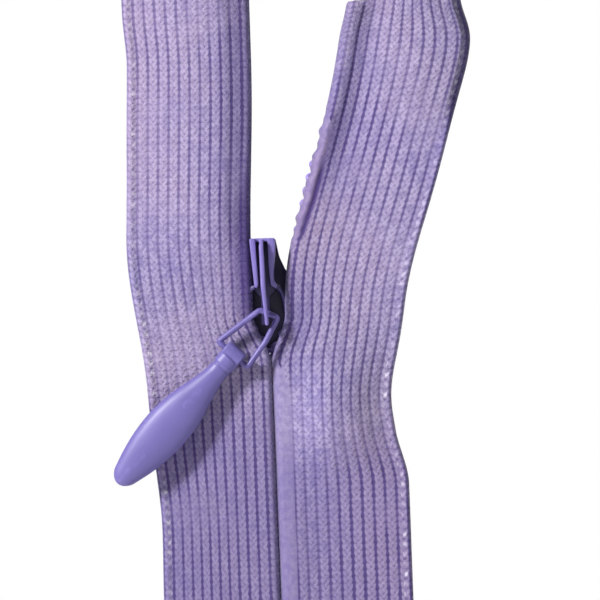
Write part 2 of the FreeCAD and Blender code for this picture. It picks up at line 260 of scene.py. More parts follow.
def keep_numbers(piece, name, values):
    """Stores a number with each vertex of a piece, for the nodes to read."""
    layer = piece.data.attributes.new(name, "FLOAT", "POINT")
    spread_out = np.broadcast_to(values, len(piece.data.vertices))
    layer.data.foreach_set("value", spread_out.astype(np.float32))


def follow(piece, side, spread=0.0, tucked=0.0, hump=0.0):
    """Makes a piece open and close with the slider. Each share may differ between vertices."""
    for name, values in (("spread", spread), ("tucked", tucked), ("hump", hump)):
        keep_numbers(piece, name, values)
    modifier = piece.modifiers.new("follow_slider", "NODES")
    modifier.node_group = FOLLOW[side]


# ---- mesh helpers ----


def mesh_piece(name, points, faces, smooth=True):
    """An object from points in millimetres and faces."""
    mesh = bpy.data.meshes.new(name)
    mesh.from_pydata((np.asarray(points) * MM).tolist(), [], faces)
    mesh.validate()
    mesh.update()
    if smooth:
        mesh.shade_smooth()
    piece = bpy.data.objects.new(name, mesh)
    bpy.context.scene.collection.objects.link(piece)
    return piece


def grid_faces(rows, columns, start=0, wrap=False, flip=False):
    """Quads over a grid of points kept row by row."""
    faces = []
    across = columns if wrap else columns - 1
    for row in range(rows - 1):
        for column in range(across):
            a = start + row * columns + column
            b = start + row * columns + (column + 1) % columns
            quad = (a, b, b + columns, a + columns)
            faces.append(quad[::-1] if flip else quad)
    return faces


def closing_faces(count, sides):
    """Quads from the last of count rings back to the first."""
    last = (count - 1) * sides
    return [(last + k, last + (k + 1) % sides, (k + 1) % sides, k) for k in range(sides)]


def end_caps(count, sides):
    """One face over each end of a tube of count rings."""
    last = (count - 1) * sides
    return [tuple(range(sides))[::-1], tuple(range(last, last + sides))]


def tube(path, radius, sides=12, closed=False):
    """Points and faces of a round tube along a path, with flat ends. radius may be a list."""
    path = np.asarray(path, float)
    count = len(path)
    if closed:
        tangents = np.roll(path, -1, 0) - np.roll(path, 1, 0)
    else:
        tangents = np.gradient(path, axis=0)
    tangents /= np.linalg.norm(tangents, axis=1)[:, None]
    radii = np.broadcast_to(radius, count)
    normal = np.cross(tangents[0], (0.31, 0.83, 0.47))    # any direction off the path would do
    normal /= np.linalg.norm(normal)
    frames = []
    for tangent in tangents:
        normal = normal - tangent * np.dot(normal, tangent)
        normal /= np.linalg.norm(normal)
        frames.append(normal.copy())
    slip = 0.0
    if closed:
        # the frame is turned a little at each ring, so that the last one meets the first
        start, end, tangent = frames[0], frames[-1], tangents[0]
        end = end - tangent * np.dot(end, tangent)
        end /= np.linalg.norm(end)
        slip = math.atan2(np.dot(np.cross(end, start), tangent), np.dot(end, start))
    turns = np.linspace(0, 2 * math.pi, sides, endpoint=False)
    rings = []
    for number, (point, tangent, normal) in enumerate(zip(path, tangents, frames)):
        side = np.cross(tangent, normal)
        angles = (turns + slip * number / count)[:, None]
        rings.append(point + radii[number] * (np.cos(angles) * normal + np.sin(angles) * side))
    faces = grid_faces(count, sides, wrap=True)
    faces += closing_faces(count, sides) if closed else end_caps(count, sides)
    return np.concatenate(rings), faces


def join_parts(parts):
    """Several (points, faces) as one."""
    points, faces, start = [], [], 0
    for some, those in parts:
        points.append(np.asarray(some))
        faces += [tuple(index + start for index in face) for face in those]
        start += len(some)
    return np.concatenate(points), faces


# ---- materials ----


def new_material(name, **settings):
    """A material's shader, and the Tree that writes into it."""
    material = bpy.data.materials.new(name)
    material.use_nodes = True
    shader = material.node_tree.nodes["Principled BSDF"]
    for socket, value in settings.items():
        shader.inputs[socket.replace("_", " ")].default_value = value
    return material, shader, Tree(material.node_tree)


def colour_ramp(tree, value, *stops):
    """A colour for each value, from (value, colour) stops."""
    made = tree.node("ShaderNodeValToRGB")
    tree.join(value, made.inputs[0])
    ramp_stops = made.color_ramp.elements
    while len(ramp_stops) < len(stops):
        ramp_stops.new(0.5)
    for element, (position, colour) in zip(ramp_stops, stops):
        element.position = position
        element.color = (*colour, 1)
    return made.outputs["Color"]


def object_noise(tree, scale, detail=3.0, stretch=(1, 1, 1)):
    """Noise over the object's own space, in cycles per metre."""
    place = tree.node("ShaderNodeTexCoord")
    mapping = tree.node("ShaderNodeMapping")
    mapping.inputs["Scale"].default_value = stretch
    noise = tree.node("ShaderNodeTexNoise")
    for name, value in (("Scale", scale), ("Detail", detail), ("Roughness", 0.55)):
        noise.inputs[name].default_value = value
    tree.join(place.outputs["Object"], mapping.inputs["Vector"])
    tree.join(mapping.outputs[0], noise.inputs["Vector"])
    return Number(tree, noise.outputs["Fac"])


def pick(sockets, name, kind):
    """The socket of that name and type."""
    return [socket for socket in sockets if socket.name == name and socket.type == kind][0]


def mix(tree, share, first, second):
    """Mixes two colours: first where share is 0, second where it is 1. Each may be a tuple."""
    made = tree.node("ShaderNodeMix", data_type="RGBA")
    tree.join(share, pick(made.inputs, "Factor", "VALUE"))
    for name, value in (("A", first), ("B", second)):
        socket = pick(made.inputs, name, "RGBA")
        if isinstance(value, tuple):
            socket.default_value = (*value, 1)
        else:
            tree.join(value, socket)
    return pick(made.outputs, "Result", "RGBA")


def colour_and_bump(tree, shader, colour, height, distance, strength):
    """Joins the colour, and a bump of that distance in millimetres, to the shader."""
    bump = tree.node("ShaderNodeBump")
    bump.inputs["Strength"].default_value = strength
    bump.inputs["Distance"].default_value = distance * MM
    tree.join(height, bump.inputs["Height"])
    tree.join(bump.outputs[0], shader.inputs["Normal"])
    tree.join(colour, shader.inputs["Base Color"])


# painted shade: the near-black violet laid into the grooves, stitch holes, gaps and round the fold
GROOVE_SHADE = (0.07, 0.045, 0.2)


def knit_material():
    """Warp-knit polyester: ribs of slanting stitches.

    The knit map holds ribs across and stitches along. With each vertex come edge, the distance
    from the tape's outer edge in millimetres, and shares for cloth that is plain, painted in
    shade, pink, or painted with shadow in a crease or where an edge turns away. Grooves, stitch
    holes, the gaps between stitches and loops, and the cloth round the fold get painted shade too.
    """
    material, shader, tree = new_material(
        "lavender_knit", Roughness=0.75, Sheen_Weight=0.3, Sheen_Roughness=0.4, Specular_IOR_Level=0.2
    )
    wale, course = tree.parts(tree.node("ShaderNodeUVMap", uv_map="knit").outputs[0])[:2]
    edge = tree.attribute("edge")
    across = tree.do("ABSOLUTE", tree.do("FRACT", wale) - 0.5)
    lagged = course - across * 0.6
    beat = tree.do("COSINE", lagged * (2 * math.pi)) * 0.5 + 0.5
    # each stitch is a little lighter or darker than its neighbours, but not on plain cloth
    cell = tree.vector(tree.do("FLOOR", wale * 2.0), tree.do("FLOOR", lagged))
    chance = tree.node("ShaderNodeTexWhiteNoise", noise_dimensions="2D")
    tree.join(cell, chance.inputs["Vector"])
    plain = tree.attribute("plain")
    ribbed = tree.remap(plain, 0.25, 0.75, 1.0, 0.12)
    luck = (Number(tree, chance.outputs["Value"]) - 0.5) * ribbed + 0.5
    # grooves between the ribs, narrower where a stitch bulges into them, and shallower in places,
    # painted dark as shade, and darker still where the cloth is painted in shade
    firmness = tree.remap(object_noise(tree, 105, 2.5), 0.34, 0.6, 0.45, 1.0)
    reach = across + (0.5 - beat) * 0.05 + (luck - 0.5) * 0.06
    groove = tree.remap(reach, 0.3, 0.45) * firmness
    # painted shade in large patches, from shade_and_dye()
    shade = tree.attribute("dark")
    groove = tree.do("MINIMUM", groove * (shade * 0.7 + 0.9) * ribbed, 1.0)
    # the hole in the middle of each stitch, and the gap between one stitch and the next, both painted
    # dark as shade
    heart = tree.remap(across, 0.17, 0.03) * tree.remap(beat, 0.35, 0.9) * ribbed
    gap = tree.remap(beat, 0.42, 0.0) * tree.remap(across, 0.05, 0.16) * ribbed
    # bright looped stitches along the outer edge, in patches
    speckle = object_noise(tree, 2600, 2.5)
    patch = object_noise(tree, 95, 3.0)
    dash = tree.do("ABSOLUTE", tree.do("FRACT", course / 1.5) - 0.5)
    rim = tree.remap(edge, 0.4, 0.55) * tree.remap(edge, 0.9, 0.75)
    loop = rim * tree.remap(dash, 0.28, 0.12) * tree.remap(luck, 0.2, 0.9, 0.1, 0.7)
    loop = loop * tree.remap(patch, 0.4, 0.6, 0.25, 1.0)
    # painted shade between the edge loops
    between = rim * tree.remap(dash, 0.3, 0.45)
    # the dye: cloudy, speckled, pinker in places, darkened in places by painted shade, and pebbled
    # on the plain cloth
    bluish, middling, pinkish = (0.25, 0.215, 0.44), (0.31, 0.262, 0.46), (0.375, 0.295, 0.45)
    cloudy = colour_ramp(tree, patch, (0.32, bluish), (0.5, middling), (0.7, pinkish))
    lightness = luck * 0.5 + speckle * 0.8
    lively = mix(tree, tree.remap(lightness, 0.35, 0.95, 0.0, 0.5), cloudy, (0.55, 0.48, 0.69))
    lively = mix(tree, tree.attribute("pink") * 0.5, lively, (0.47, 0.36, 0.52))
    # painted shade
    lively = mix(tree, shade * 0.6, lively, (0.13, 0.1, 0.3))
    pebble = tree.remap(object_noise(tree, 1500, 2.0), 0.42, 0.62) * plain
    lively = mix(tree, pebble * 0.3, lively, (0.15, 0.11, 0.36))
    # painted shade where the cloth turns round the fold, away from the viewer
    bend = tree.remap(edge, 11.2, 11.75, 0.0, 0.45) * tree.remap(edge, 13.6, 13.0)
    colour = lively
    # painted shade in the stitch holes, the gaps between stitches and the grooves
    for share in (heart * 0.34, gap * 0.2, groove * 0.92):
        colour = mix(tree, share, colour, GROOVE_SHADE)
    colour = mix(tree, loop, colour, (0.86, 0.82, 0.95))
    # painted shade between the edge loops and round the fold
    for share in (between * 0.35, bend):
        colour = mix(tree, share, colour, GROOVE_SHADE)
    # painted shadow in the crease beside the rolled fold and where an edge turns away
    colour = mix(tree, tree.attribute("crease"), colour, (0.055, 0.03, 0.17))
    # bump: the stitches' own fibres run slantwise
    slant = course * 5.0 + across * 16.0
    fibre = tree.do("SINE", slant * (2 * math.pi)) * 0.1
    height = fibre - heart * 0.6 - gap * 0.45 - groove * 0.8 + speckle * 0.5 + loop * 0.8
    colour_and_bump(tree, shader, colour, height, 0.14, 0.9)
    return material


def clouded_material(name, stops, cloud, bump, gloss=None, **settings):
    """A plain material between two colours. cloud holds the settings of the noise between
    them, and bump the noise, distance and strength of its roughness. gloss is two roughnesses."""
    material, shader, tree = new_material(name, **settings)
    drift = object_noise(tree, **cloud)
    if gloss:
        tree.join(tree.remap(drift, 0.3, 0.7, *gloss), shader.inputs["Roughness"])
    noise, distance, strength = bump
    height = object_noise(tree, *noise) if noise else drift
    colour_and_bump(tree, shader, colour_ramp(tree, drift, *stops), height, distance, strength)
    return material


def paint_material(name, deep, light, worn, roughness, recess_shade=0.0):
    """Sprayed paint over a zinc casting: fine orange peel, and edges rubbed paler and duller;
    painted shade darkens the casting deep inside."""
    material, shader, tree = new_material(
        name, Roughness=roughness, Specular_IOR_Level=0.4, Coat_Weight=0.12, Coat_Roughness=0.3
    )
    cloud = object_noise(tree, 180, 2.0)
    base = colour_ramp(tree, cloud, (0.3, deep), (0.72, light))
    edge = tree.remap(tree.node("ShaderNodeNewGeometry").outputs["Pointiness"], 0.53, 0.62)
    rub = edge * tree.remap(object_noise(tree, 1500, 4.0), 0.4, 0.62, 0.2, 1.0)
    worn_colour = tuple(min(1.0, value * 1.55 + 0.05) for value in light)
    colour = mix(tree, rub * worn, base, worn_colour)
    # painted shade: deeper inside the casting, in front of the back plate, the colour falls towards
    # near-black
    if recess_shade:
        depth = tree.parts(tree.node("ShaderNodeTexCoord").outputs["Object"])[1]
        inside = tree.remap(depth, -0.7 * MM, 0.6 * MM, 0.0, recess_shade)
        before_plate = tree.remap(depth, 3.3 * MM, 3.5 * MM, 1.0, 0.0)
        colour = mix(tree, inside * before_plate, colour, (0.008, 0.003, 0.05))
    gloss = tree.remap(cloud, 0.25, 0.8, roughness - 0.03, roughness + 0.07)
    tree.join(gloss, shader.inputs["Roughness"])
    colour_and_bump(tree, shader, colour, object_noise(tree, 3800), 0.012, 0.5)
    return material


KNIT = knit_material()
THREAD = clouded_material(
    "lavender_thread",
    stops=((0.35, (0.36, 0.28, 0.6)), (0.65, (0.62, 0.53, 0.84))),
    cloud={"scale": 2400, "stretch": (1, 1, 0.4)},
    bump=(None, 0.05, 0.7),
    Roughness=0.6, Sheen_Weight=0.4, Specular_IOR_Level=0.35,
)
# extruded monofilament: glossy and a little translucent
NYLON = clouded_material(
    "lavender_nylon",
    stops=((0.3, (0.22, 0.17, 0.45)), (0.7, (0.34, 0.28, 0.6))),
    cloud={"scale": 700},
    bump=((5200, 2.0), 0.01, 0.5),
    gloss=(0.24, 0.42),
    Subsurface_Weight=0.12, Subsurface_Scale=0.5 * MM, Subsurface_Radius=(0.6, 0.4, 1.0),
    Roughness=0.3, Specular_IOR_Level=0.5,
)
RESIN = clouded_material(
    "stop_resin",
    stops=((0.3, (0.25, 0.19, 0.47)), (0.7, (0.37, 0.3, 0.62))),
    cloud={"scale": 900, "detail": 4.0},
    bump=((3000,), 0.02, 0.6),
    Roughness=0.42, Specular_IOR_Level=0.45,
)
CASTING = paint_material("violet_casting", (0.135, 0.105, 0.33), (0.18, 0.145, 0.41), 0.5, 0.34, 0.95)
WIRE_PAINT = paint_material("violet_wire", (0.085, 0.065, 0.24), (0.13, 0.103, 0.33), 0.35, 0.38)
ENAMEL = paint_material("violet_enamel", (0.115, 0.096, 0.3), (0.138, 0.117, 0.345), 0.2, 0.5)


def finish_piece(piece, material, body, slot, *nodes):
    """Gives a piece its material and its body, and hides the CAD nodes it stands for. slot is not used.
    """
    piece.data.materials.append(material)
    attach(piece, body)
    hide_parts(*nodes)


# ---- tapes ----

WALE = 1.0                 # rib spacing
COURSE = 0.64              # stitch length along the tape
FRONT_ROWS = 4             # rows of vertices in a course on the front
FRONT_COLUMNS = 7          # columns in a wale on the front
BACK_COLUMNS = 4
RIB = 0.1                  # how far the ribs stand proud of the grooves between them
SMOOTH_FOLD = {-1: 0.95, 1: 1.75}   # plain cloth beside the fold, with no rib
ROLL_WIDTH = 1.15          # plain cloth that has rolled forward above the slider, on the right
FRONT_LENGTH = TAPE_REACH - FOLD_REACH
FOLD_CENTRE = FOLD_REACH + FOLD_RADIUS + CLOTH / 2
FLAT_LENGTH = TAPE_REACH - FOLD_CENTRE         # outer edge to where the fold begins
FOLD_LENGTH = math.pi * FOLD_RADIUS
CLOTH_WIDTH = FLAT_LENGTH + FOLD_LENGTH + MARGIN_REACH - FOLD_CENTRE


def section(along):
    """Middle surface of the cloth seen from the end: (x, y, normal x, normal y) at a distance
    from the outer edge, in across the front, round the fold and out along the margin."""
    if along <= FLAT_LENGTH:
        return TAPE_REACH - along, CLOTH / 2, 0.0, -1.0
    past = along - FLAT_LENGTH
    if past <= FOLD_LENGTH:
        sine, cosine = math.sin(past / FOLD_RADIUS), math.cos(past / FOLD_RADIUS)
        middle_x = FOLD_CENTRE - FOLD_RADIUS * sine
        return middle_x, CLOTH / 2 + FOLD_RADIUS * (1 - cosine), -sine, -cosine
    return FOLD_CENTRE + past - FOLD_LENGTH, CLOTH / 2 + 2 * FOLD_RADIUS, 0.0, 1.0


def inner_half(reach):
    """1 over the half of a tape beside its fold, less at the fold and the outer edge."""
    return step(reach - 0.1, 0.4) * (1 - 0.7 * step(reach - 0.6, 0.4))


def hump(side, reach):
    """Depth, towards the viewer if negative, that the open part of a tape takes beside its fold."""
    beside = step(reach - 0.02, 0.25) * (1 - 0.8 * step(reach - 0.4, 0.6))
    return -0.9 * beside if side < 0 else beside - 0.9 * inner_half(reach)


def drape(side, reach, above):
    """Where the free cloth lies beyond its plain shape: (across, depth). reach is 0 at the
    seam and 1 at the outer edge; above is the height over the slider's top at rest."""
    loose = step(reach - 0.22, 0.78)
    rim = step(reach - 0.91, 0.09)
    if side < 0:
        across = loose * (0.8 * step(-above - 14, 14) + 0.05 * np.sin(above * 0.4))
        across = across - 0.3 * loose * step(above - 17, 5)
        depth = loose * (0.15 * bump_up(above, -24, 9) - 0.3 * bump_up(above, 12, 9))
        depth = depth + 0.2 * loose * bump_up(above, 3, 5)
        quiet = 0.12 * loose * (1 + np.sin(above * 0.21))
    else:
        across = loose * (
            0.75 * step(-above - 19, 5)
            - 0.65 * bump_up(above, -15.5, 4.2)
            + 0.55 * bump_up(above, 6, 11)
            + 0.65 * bump_up(above, 17.5, 4.5)
            - 1.3 * step(above - 18, 7)
        )
        depth = loose * (
            1.6 * bump_up(above, -14.5, 5.0) - 0.9 * bump_up(above, -26, 6) - bump_up(above, 2, 9)
        )
        depth = depth - inner_half(reach) * 2.3 * bump_up(above, -17.5, 5.0)
        depth = depth + (loose ** 3 * 0.5 + rim * 1.3) * step(above - 8, 8)
        quiet = 0.2 * loose * np.sin(above * 0.21 + 1)
    opened = step(above - HUMP_FROM[side], HUMP_RISE[side])
    return across, depth + quiet + hump(side, reach) * opened


def shade_and_dye(side, reach, above):
    """Painted shade and pink dye over the cloth, in large soft patches. dark is shade painted beside
    the folds, towards the lower ends and along the right tape's curled rim at the top; pink is
    the dye's own tint. 0 is none, and 1 is a lot.
    """
    near = step(0.4 - reach, 0.38)
    rim = step(reach - 0.9, 0.09)
    if side < 0:
        dark = 0.85 * near * step(above + 14, 12) + 0.7 * step(-above - 12, 8)
        pink = step(reach - 0.55, 0.4) * step(above + 2, 14) * 0.9
    else:
        dark = 0.85 * near * step(reach - 0.08, 0.05) * step(above - 2, 9)
        dark = dark + 0.7 * step(-above - 16.5, 7)
        dark = dark + 0.75 * near * bump_up(above, -7, 5) + 1.5 * rim * step(above - 7, 5)
        dark = dark + 0.45 * step(0.75 - reach, 0.5) * bump_up(above, 7, 7)
        pink = 0.9 * step(-above - 14, 10) * step(reach - 0.3, 0.5)
        pink = pink + 1.2 * (1 - step(reach - 0.09, 0.03)) * bump_up(above, 5, 4)
    return dark, pink


def knit_relief(wale, course):
    """Height of the knitted surface: ribs of two slanting legs with a hole between each pair."""
    across = np.abs(wale - np.floor(wale) - 0.5)
    beat = 0.5 + 0.5 * np.cos(2 * np.pi * (course - 0.6 * across))
    ridge = 1 - (2 * across) ** 4
    hole = np.exp(-((across / 0.11) ** 2)) * beat
    leg = np.exp(-(((across - 0.24) / 0.14) ** 2)) * (0.4 + 0.6 * beat)
    return RIB * (ridge - 0.5 * hole + 0.5 * leg - 0.75)


def plain_cloth(side, d, over):
    """Where the cloth has no ribs beside its fold, how far the fold has rolled forward there,
    and the crease beside the roll, each from 0 to 1. d is the distance from the outer edge."""
    if side < 0:
        return step(d - (FRONT_LENGTH - SMOOTH_FOLD[side]), 0.12), 0.0, 0.0
    # beside the slider the ribs run up to the fold, and above it the fold has rolled forward
    rolled = step(over + 0.8, 1.5) * (1 - step(over - 10, 3))
    width = SMOOTH_FOLD[side] * (1 - step(over + 15.5, 6)) + ROLL_WIDTH * rolled
    crease = bump_up(d, FRONT_LENGTH - ROLL_WIDTH * (0.8 + 0.2 * step(over, 4)), 0.3)
    crease = crease * rolled * (1 - 0.6 * step(over - 5, 3))
    return step(d - (FRONT_LENGTH - width), 0.12), rolled, crease


def shadowed_edge(side, d, over):
    """Where an edge of the cloth turns away from the viewer, from 0 to 1."""
    if side > 0:
        # the outer edge has curled back near the top
        return (1 - step(d - 0.3, 0.35)) * step(over - 9, 4) * (1 - step(over - 20, 3))
    # the cloth dives under the slider's prong beside the fold
    width = 0.5 + 1.9 * (1 - step(over, 9))
    inwards = (FRONT_LENGTH - d - 0.1) / width
    return (1 - step(inwards, 1)) * step(over + 11, 6) * (1 - step(over - 9, 6))


def tape_points(side, distances, heights, outer):
    """Grid of points over one face of a tape, with its knit map and the numbers that the
    material and the slider's nodes read."""
    base = np.array([section(distance) for distance in distances])[None, :, :]
    middle_x, middle_y, normal_x, normal_y = (base[:, :, number] for number in range(4))
    d, height = distances[None, :], heights[:, None]
    over = height - SLIDER_TOP
    z = np.repeat(height, len(distances), 1)
    if side > 0:
        # the upper end has been cut by hand
        cut = 0.95 + 0.22 * np.sin(1.3 * middle_x) + 0.1 * np.sin(5.1 * middle_x)
        z = z - cut * step(height - TAPE_HIGH + 5, 5)
    reach = np.clip((middle_x - FOLD_REACH) / FRONT_LENGTH, 0, 1)
    spread = step(reach - 0.04, 0.6)
    # ribs are counted from the plain cloth beside the fold, outwards
    wale = (FRONT_LENGTH - SMOOTH_FOLD[side] - d) / WALE + 40
    course = (height - TAPE_LOW) / COURSE
    plain, rolled, crease = plain_cloth(side, d, over)
    plain_relief = RIB * (0.1 + 0.1 * np.cos(1.7 * course) * np.cos(np.pi * d))
    relief = knit_relief(wale, course) * (1 - plain) + plain_relief * plain - 0.22 * crease
    # no relief at the very fold, where the two tapes touch
    fold_middle = FLAT_LENGTH + 1.5 * FOLD_RADIUS
    relief = relief * (1 - bump_up(d, fold_middle, 0.55))
    # the selvage at the outer edge is a chain of fatter loops
    edge = 1 - step(d - 0.55, 0.35)
    loops = np.abs(np.sin(np.pi * course / 1.5)) * np.sin(np.pi * np.clip(d / 0.8, 0, 1))
    relief = relief * (1 - edge) + (0.08 + 0.11 * loops) * edge
    if not outer:
        relief = relief * 0.7
    # the cloth's edges are rounded over
    edge_gap = np.minimum(d, CLOTH_WIDTH - d)
    end_gap = np.minimum(height - TAPE_LOW, TAPE_HIGH - height)
    thin = np.sqrt(np.clip(edge_gap / 0.22, 0.02, 1)) * np.sqrt(np.clip(end_gap / 0.25, 0.1, 1))
    half = (CLOTH / 2 + relief) * thin * (1 if outer else -1)
    across, depth = drape(side, reach, over)
    x = side * (middle_x + half * normal_x) + opening(side, over, spread) + across
    if side > 0:
        ragged = 0.1 * np.sin(2.3 * over) + 0.08 * np.sin(5.3 * over + 1)
        x = x + ragged * rolled * (1 - step(reach - 0.01, 0.08))
    y = middle_y + half * normal_y + depth
    points = np.stack([x, y, z], -1).reshape(-1, 3)
    knit = np.stack(np.broadcast_arrays(wale, course), -1).reshape(-1, 2)
    # dark is painted shade, and pink is the dye's tint
    dark, pink = shade_and_dye(side, reach, over)
    numbers = {
        "spread": spread,
        "hump": hump(side, reach),
        "edge": d,
        # the ribs are fainter on the left, away from its fold
        "plain": plain if side > 0 else 0.36 * step(reach - 0.12, 0.3),
        # painted shadow in the crease and on edges that turn away from the viewer
        "crease": np.clip(1.3 * crease + 0.9 * shadowed_edge(side, d, over), 0, 0.95),
        # painted shade
        "dark": dark,
        "pink": pink,
    }
    return points, knit, {key: np.broadcast_to(value, z.shape).ravel() for key, value in numbers.items()}


def make_tape(name, side):
    """One tape: a ribbed front, a flatter back and rounded edges, as one closed mesh."""
    count = round((TAPE_HIGH - TAPE_LOW) / COURSE)
    front_heights = np.linspace(TAPE_LOW, TAPE_HIGH, count * FRONT_ROWS + 1)
    back_heights = front_heights[::2]
    front_across = np.linspace(0, CLOTH_WIDTH, round(CLOTH_WIDTH / WALE * FRONT_COLUMNS) + 1)
    back_across = np.linspace(0, CLOTH_WIDTH, round(CLOTH_WIDTH / WALE * BACK_COLUMNS) + 1)
    front, front_knit, front_numbers = tape_points(side, front_across, front_heights, True)
    back, back_knit, back_numbers = tape_points(side, back_across, back_heights, False)
    rows, columns = len(front_heights), len(front_across)
    back_rows, back_columns = len(back_heights), len(back_across)
    start = len(front)
    faces = grid_faces(rows, columns, flip=side < 0)
    faces += grid_faces(back_rows, back_columns, start, flip=side > 0)
    for column, back_column in ((0, 0), (columns - 1, back_columns - 1)):
        for row in range(back_rows - 1):
            a = start + row * back_columns + back_column
            b = a + back_columns
            low = 2 * row * columns + column
            face = (low, low + columns, low + 2 * columns, b, a)
            faces.append(face if (column == 0) == (side > 0) else face[::-1])
    for row, back_row in ((0, 0), (rows - 1, back_rows - 1)):
        along = [row * columns + k for k in range(columns)]
        back_along = [start + back_row * back_columns + k for k in range(back_columns)]
        face = tuple(along + back_along[::-1])
        faces.append(face if (row == 0) == (side < 0) else face[::-1])
    tape = mesh_piece(name, np.concatenate([front, back]), faces)
    knit = np.concatenate([front_knit, back_knit]).astype(np.float32)
    layer = tape.data.uv_layers.new(name="knit")
    corners = np.empty(len(tape.data.loops), np.int32)
    tape.data.loops.foreach_get("vertex_index", corners)
    layer.data.foreach_set("uv", knit[corners].reshape(-1))
    numbers = {key: np.concatenate([front_numbers[key], back_numbers[key]]) for key in front_numbers}
    for key in ("edge", "plain", "crease", "dark", "pink"):
        keep_numbers(tape, key, numbers[key])
    follow(tape, side, numbers["spread"], hump=numbers["hump"])
    finish_piece(tape, KNIT, "root", "tape_fabric", name.replace("_cloth", "_tape"))


# ---- coils, filler cords and stitching ----


CORD_REACH, CORD_TWIST, STRAND_ORBIT, STRAND_RADIUS = 0.87, 0.9, 0.075, 0.085
STITCH_ROWS = (0.56, 1.26)     # seam to each row of thread
PLY_TWIST, PLY_ORBIT, PLY_RADIUS = 0.55, 0.045, 0.058


def tuck_share(side, height):
    """How fully a coil hides under its fold. On the right it shows for a short stretch."""
    return 1 - (0.5 * bump_up(height - SLIDER_TOP, 6.5, 4.5) if side > 0 else 0.0)


def coil_shift(side, height):
    """How far across a coil and what is sewn to it stand at a height."""
    return opening(side, height - SLIDER_TOP, tucked=tuck_share(side, height))


def coil_path(side):
    """The wire's middle line: straight legs, and half rings at the heads and heels."""
    half_ring = math.hypot(PITCH / 2, LEG_SPACING) / 2
    head = -HEAD_REACH + WIRE / 2 + half_ring
    heel = HEEL_REACH - WIRE / 2 - half_ring
    level = COIL_FRONT + WIRE / 2
    first = FIRST_TURN + (0 if side > 0 else PITCH / 2)
    points = [(side * heel + float(coil_shift(side, first)), level, first)]
    for leg in range(2 * TURNS - 1):
        at_head = leg % 2 == 0
        start = first + leg * PITCH / 2
        low, high = (level, level + LEG_SPACING) if at_head else (level + LEG_SPACING, level)
        x = side * (head if at_head else heel) + float(coil_shift(side, start + PITCH / 4))
        out = -side if at_head else side
        for turn in np.linspace(0, math.pi, 9):
            share = (1 - math.cos(turn)) / 2
            bulge = half_ring * math.sin(turn)
            points.append((x + out * bulge, low + (high - low) * share, start + PITCH / 2 * share))
    return points


def finish_along_coil(name, side, parts, material, slot, node):
    """One piece from (points, faces), which opens and closes with its coil."""
    points, faces = join_parts(parts)
    piece = mesh_piece(name, points, faces)
    follow(piece, side, tucked=tuck_share(side, points[:, 2]))
    finish_piece(piece, material, "root", slot, node)


def make_coil(name, node, side):
    finish_along_coil(name, side, [tube(coil_path(side), WIRE / 2)], NYLON, "coil_nylon", node)


def make_filler_cord(name, node, side):
    """Three twisted strands along the inside of a coil."""
    level = COIL_FRONT + WIRE / 2 + LEG_SPACING / 2
    heights = np.arange(FIRST_TURN - WIRE, CHAIN_TOP - WIRE, 0.12)
    parts = []
    for strand in range(3):
        turn = heights / CORD_TWIST * 2 * math.pi + strand * 2 * math.pi / 3
        x = side * CORD_REACH + coil_shift(side, heights) + STRAND_ORBIT * np.cos(turn)
        path = np.stack([x, level + STRAND_ORBIT * np.sin(turn), heights], -1)
        parts.append(tube(path, STRAND_RADIUS, 6))
    finish_along_coil(name, side, parts, THREAD, "thread", node)


def make_stitching(name, node, side):
    """Two rows of two-ply thread over the coil, tight against each turn and dipping between."""
    top = COIL_FRONT + WIRE + LEG_SPACING
    heights = np.arange(FIRST_TURN - WIRE / 2, CHAIN_TOP - WIRE, 0.1)
    back_legs = FIRST_TURN + PITCH / 2 + (0 if side > 0 else PITCH / 2)
    ride = 0.5 + 0.5 * np.cos((heights - back_legs) / PITCH * 2 * math.pi)
    twist = heights / PLY_TWIST * 2 * math.pi
    wander = 0.05 * np.sin(heights / PITCH * math.pi)
    parts = []
    for reach in STITCH_ROWS:
        for ply in (-PLY_ORBIT, PLY_ORBIT):
            x = side * reach + coil_shift(side, heights) + ply * np.cos(twist) + wander
            y = top - 0.1 + 0.19 * ride ** 0.7 + ply * np.sin(twist)
            parts.append(tube(np.stack([x, y, heights], -1), PLY_RADIUS, 6))
    finish_along_coil(name, side, parts, THREAD, "thread", node)


# ---- stops ----

STOP_ROUND = 0.3
STOP_PINCH = 0.12          # how far a stop's back is drawn in at its middle


def make_stop(name, node, side=0):
    """A block the size of its CAD node, with rounded edges: a fine box pulled in at its edges."""
    mesh = bmesh.new()
    bmesh.ops.create_cube(mesh, size=1.0)
    bmesh.ops.subdivide_edges(mesh, edges=mesh.edges[:], cuts=7, use_grid_fill=True)
    low, high = np.array(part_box(node)) / MM
    size = high - low
    points = []
    for vertex in mesh.verts:
        place = np.array(vertex.co) * size
        inner = np.clip(place, STOP_ROUND - size / 2, size / 2 - STOP_ROUND)
        out = place - inner
        length = np.linalg.norm(out)
        if length > STOP_ROUND:
            place = inner + out / length * STOP_ROUND
        place[1] -= STOP_PINCH * math.cos(math.pi * place[2] / size[2]) * (place[1] > 0)
        points.append(place + (low + high) / 2)
    faces = [tuple(vertex.index for vertex in face.verts) for face in mesh.faces]
    mesh.free()
    stop = mesh_piece(name, points, faces)
    if side:
        follow(stop, side, tucked=1.0)
    finish_piece(stop, RESIN, "root", "stop_resin", node)


# ---- link and pull ----

RING_LENGTH = 5.09         # narrow bar to wide bar
RING_WIDE = 1.86           # half of the wide bar
RING_WIRE = 0.56
PULL_ANGLE = math.radians(44)      # of the resting pull, from straight down


def pull_frame(points, joint_name):
    """Takes points in the pull's own frame (x along the bars, z down the pull, y towards the
    tape) to the row's frame, from a joint's place."""
    joint = [joint for joint in frame["joints"] if joint["name"] == joint_name][0]
    along = np.array((-math.sin(PULL_ANGLE), 0, -math.cos(PULL_ANGLE)))
    bar = np.array((-math.cos(PULL_ANGLE), 0, math.sin(PULL_ANGLE)))
    points = np.asarray(points)
    start = np.array(joint["pos_m"]) / MM
    return start + points[:, :1] * bar + points[:, 1:2] * (0, 1, 0) + points[:, 2:3] * along


